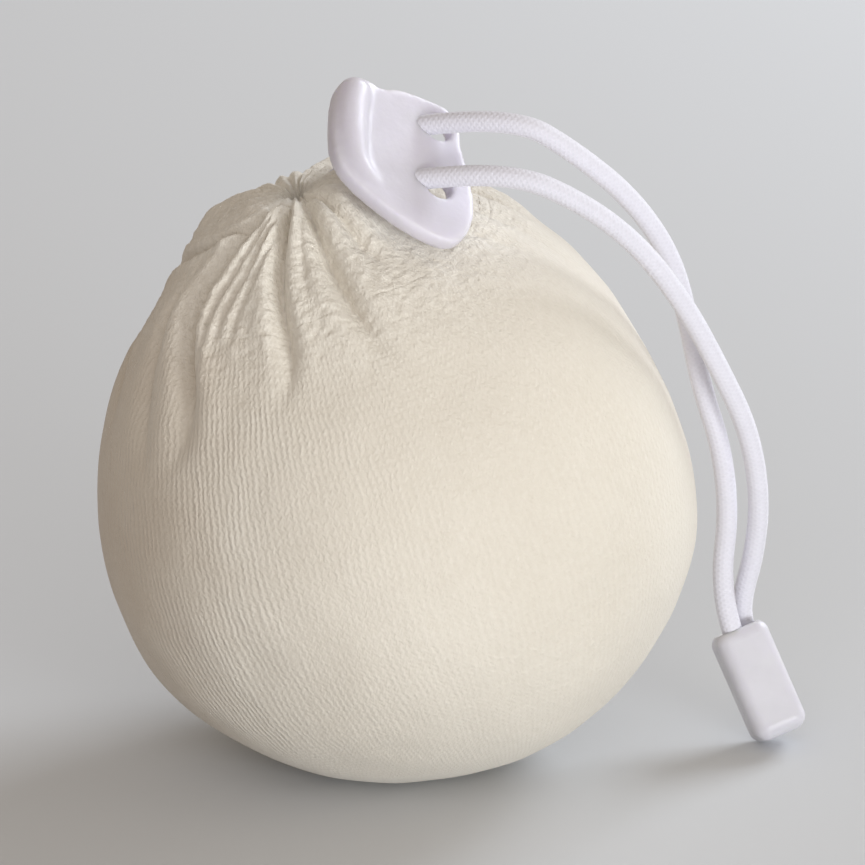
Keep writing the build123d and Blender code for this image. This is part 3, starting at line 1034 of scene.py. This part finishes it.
def stopper():
    """The moulded stopper: a plate with a thick rounded rim and two openings beside the strands."""
    parts = [plate_mesh(), sausage(on_plate(RIM_LINE), RIM_RADII)]
    mesh = modified(joined_mesh("stopper", parts), "REMESH", mode="VOXEL", voxel_size=0.00032)
    for middle in GAP_CENTRES:
        cutter = gap_cutter(*middle)
        mesh = modified(mesh, "BOOLEAN", operation="DIFFERENCE", object=cutter, solver="EXACT")
        bpy.data.objects.remove(cutter)
    mesh = modified(mesh, "REMESH", mode="VOXEL", voxel_size=0.00030)
    mesh = modified(mesh, "SMOOTH", factor=0.5, iterations=22)
    mesh.name = "stopper"
    mesh.materials.clear()
    piece = finished("stopper_moulding", mesh, stopper_plastic, body="stopper")
    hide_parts("cord_stopper")


# ---------------------------------------------------------------- the stage

FLOOR_HALF = 3.0
FLOOR_COLOUR = (0.60, 0.612, 0.63, 1)
WORLD_COLOUR = (1.0, 0.88, 0.74, 1)
WORLD_STRENGTH = 0.43
# The lights: name, power, size, colour, azimuth, elevation, distance and what they are aimed at.
LIGHTS = [
    ("key", 8.9, 0.4, (0.95, 0.985, 1.0), 34, 0, 1.0, TARGET),
    ("fill", 2.9, 0.8, (0.93, 0.94, 1.0), -2, 24, 1.0, TARGET),
    ("backdrop", 8.4, 0.5, (0.86, 0.92, 1.0), 130, 55, 0.62, BACKDROP_AIM),
]


def floor():
    mesh = bpy.data.meshes.new("floor")
    half = FLOOR_HALF
    corners = [(-half, -half, 0), (half, -half, 0), (half, half, 0), (-half, half, 0)]
    mesh.from_pydata(corners, [], [(0, 1, 2, 3)])
    material, shader = new_material("floor_mat", 0.85, specular=0.2)
    shader.inputs["Base Color"].default_value = FLOOR_COLOUR
    mesh.materials.append(material)
    piece = bpy.data.objects.new("floor", mesh)
    bpy.context.scene.collection.objects.link(piece)


def area_light(name, power, size, colour, azimuth, elevation, distance, aim):
    """A square soft light; azimuth 0 is the camera's side, going to its right."""
    lamp = bpy.data.lights.new(name, "AREA")
    lamp.energy = power
    lamp.size = size
    lamp.color = colour
    holder = bpy.data.objects.new(name, lamp)
    a, e = math.radians(azimuth), math.radians(elevation)
    way = Vector((math.sin(a) * math.cos(e), -math.cos(a) * math.cos(e), math.sin(e)))
    holder.location = Vector(aim) + way * distance
    holder.rotation_euler = way.to_track_quat("Z", "Y").to_euler()
    bpy.context.scene.collection.objects.link(holder)


def world_light():
    world = bpy.data.worlds.new("studio")
    world.use_nodes = True
    sky = world.node_tree.nodes["Background"]
    sky.inputs["Color"].default_value = WORLD_COLOUR
    sky.inputs["Strength"].default_value = WORLD_STRENGTH
    bpy.context.scene.world = world


def camera():
    data = bpy.data.cameras.new("camera")
    data.lens = CAMERA_LENS
    data.sensor_width = 36.0
    data.clip_start = 0.01
    holder = bpy.data.objects.new("camera", data)
    e = math.radians(CAMERA_ELEVATION)
    way = Vector((0, -math.cos(e), math.sin(e)))
    holder.location = Vector(TARGET) + way * CAMERA_DISTANCE
    holder.rotation_euler = (math.radians(90 - CAMERA_ELEVATION), 0, 0)
    bpy.context.scene.collection.objects.link(holder)
    bpy.context.scene.camera = holder


def paint_node(node, material):
    """Gives a CAD part, shown as it is, its material."""
    piece = bpy.data.objects[node]
    piece.data.materials.clear()
    piece.data.materials.append(material)


camera()
floor()
world_light()
for light in LIGHTS:
    area_light(*light)

bag_body()
hem_band()
hem_stitches()
back_seam()
herb_pouch()
pouch_tie()
herb_filling()
drawn_loop()
knot()
strand("upper_strand", UPPER_ROUTE, "drawstring_upper_strand")
strand("lower_strand", LOWER_ROUTE, "drawstring_lower_strand")
stopper()
paint_node("cord_end_body", clip_plastic)
paint_node("cord_end_lid", clip_plastic)

bpy.context.scene.view_settings.view_transform = "Standard"
